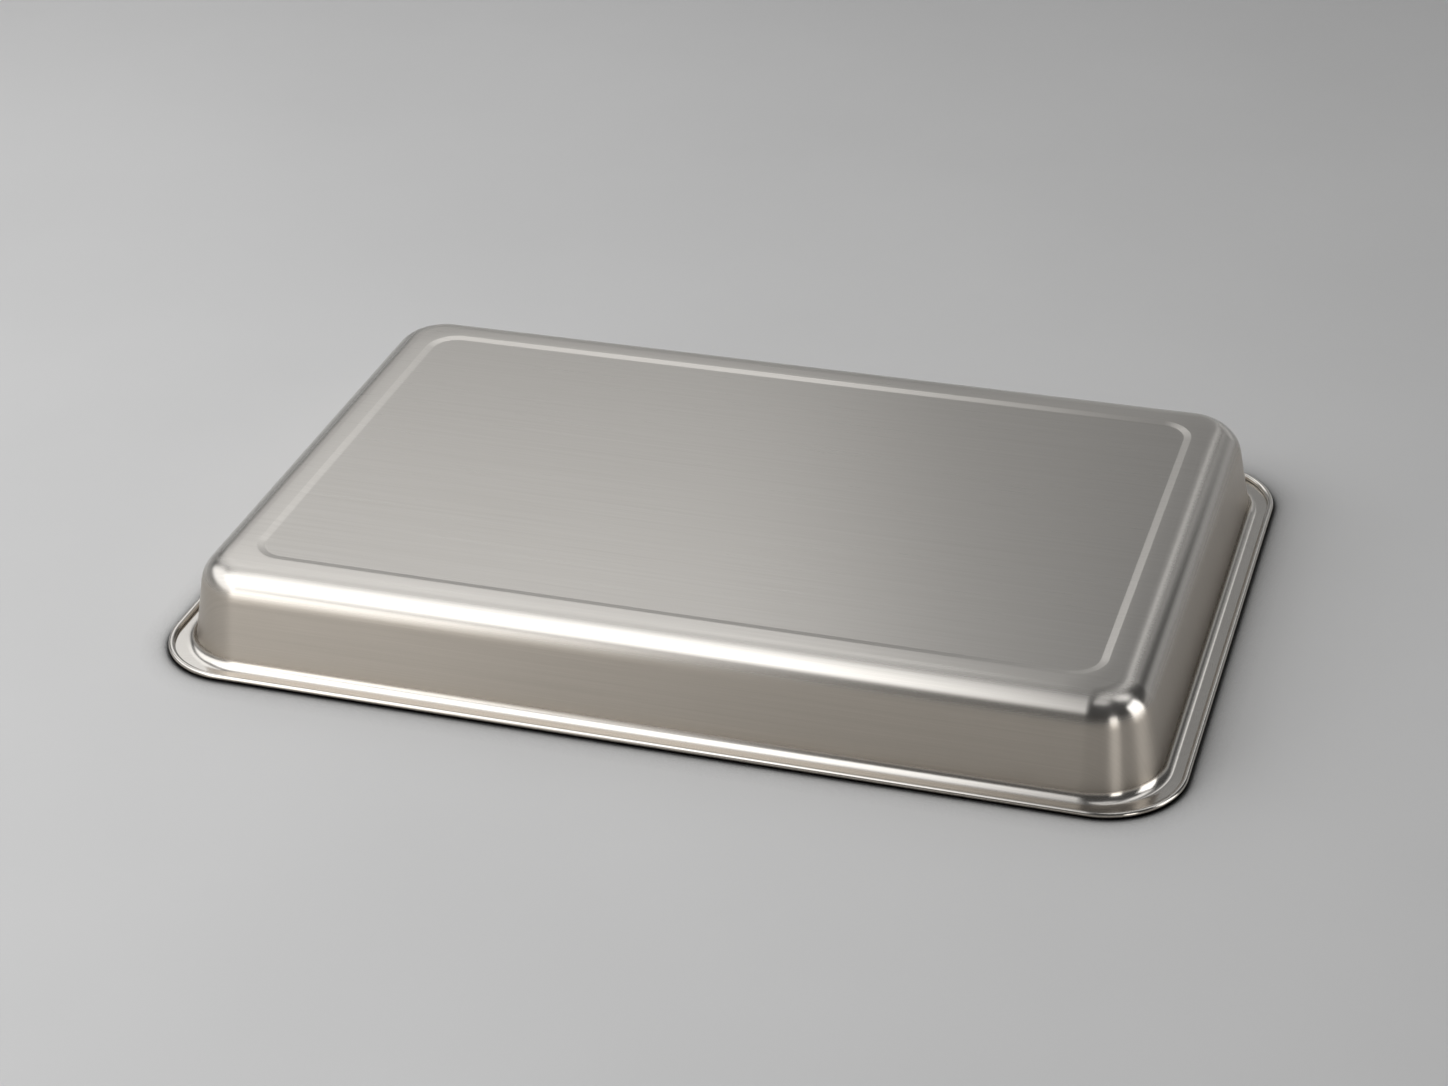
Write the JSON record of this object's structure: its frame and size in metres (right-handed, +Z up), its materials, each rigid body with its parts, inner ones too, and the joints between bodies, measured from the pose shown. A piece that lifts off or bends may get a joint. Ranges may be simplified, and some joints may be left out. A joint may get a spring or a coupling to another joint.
{
  "type": "cookie sheet",
  "caption": "Shallow rectangular baking pan pressed from stainless sheet, with leaning walls, rounded corners, a raised base panel and a wired, rolled rim.",
  "frame": {"origin": "under the middle of the pan, on the plane that the rim lies on; the pan is upside down, as in the picture", "axes": "+X along the long side, +Y along the short side, +Z up, from the mouth to the base; in use the pan is turned over, so -Z is then up"},
  "size_m": [0.4064, 0.2666, 0.0381],
  "materials": {
    "stainless_sheet": "fine brushed grain along the pan's length, softly polished on the bends",
    "steel_wire": "plain drawn wire"
  },
  "bodies": {
    "root": {"pan_sheet": "stainless_sheet", "rim_wire": "steel_wire"}
  },
  "joints": []
}
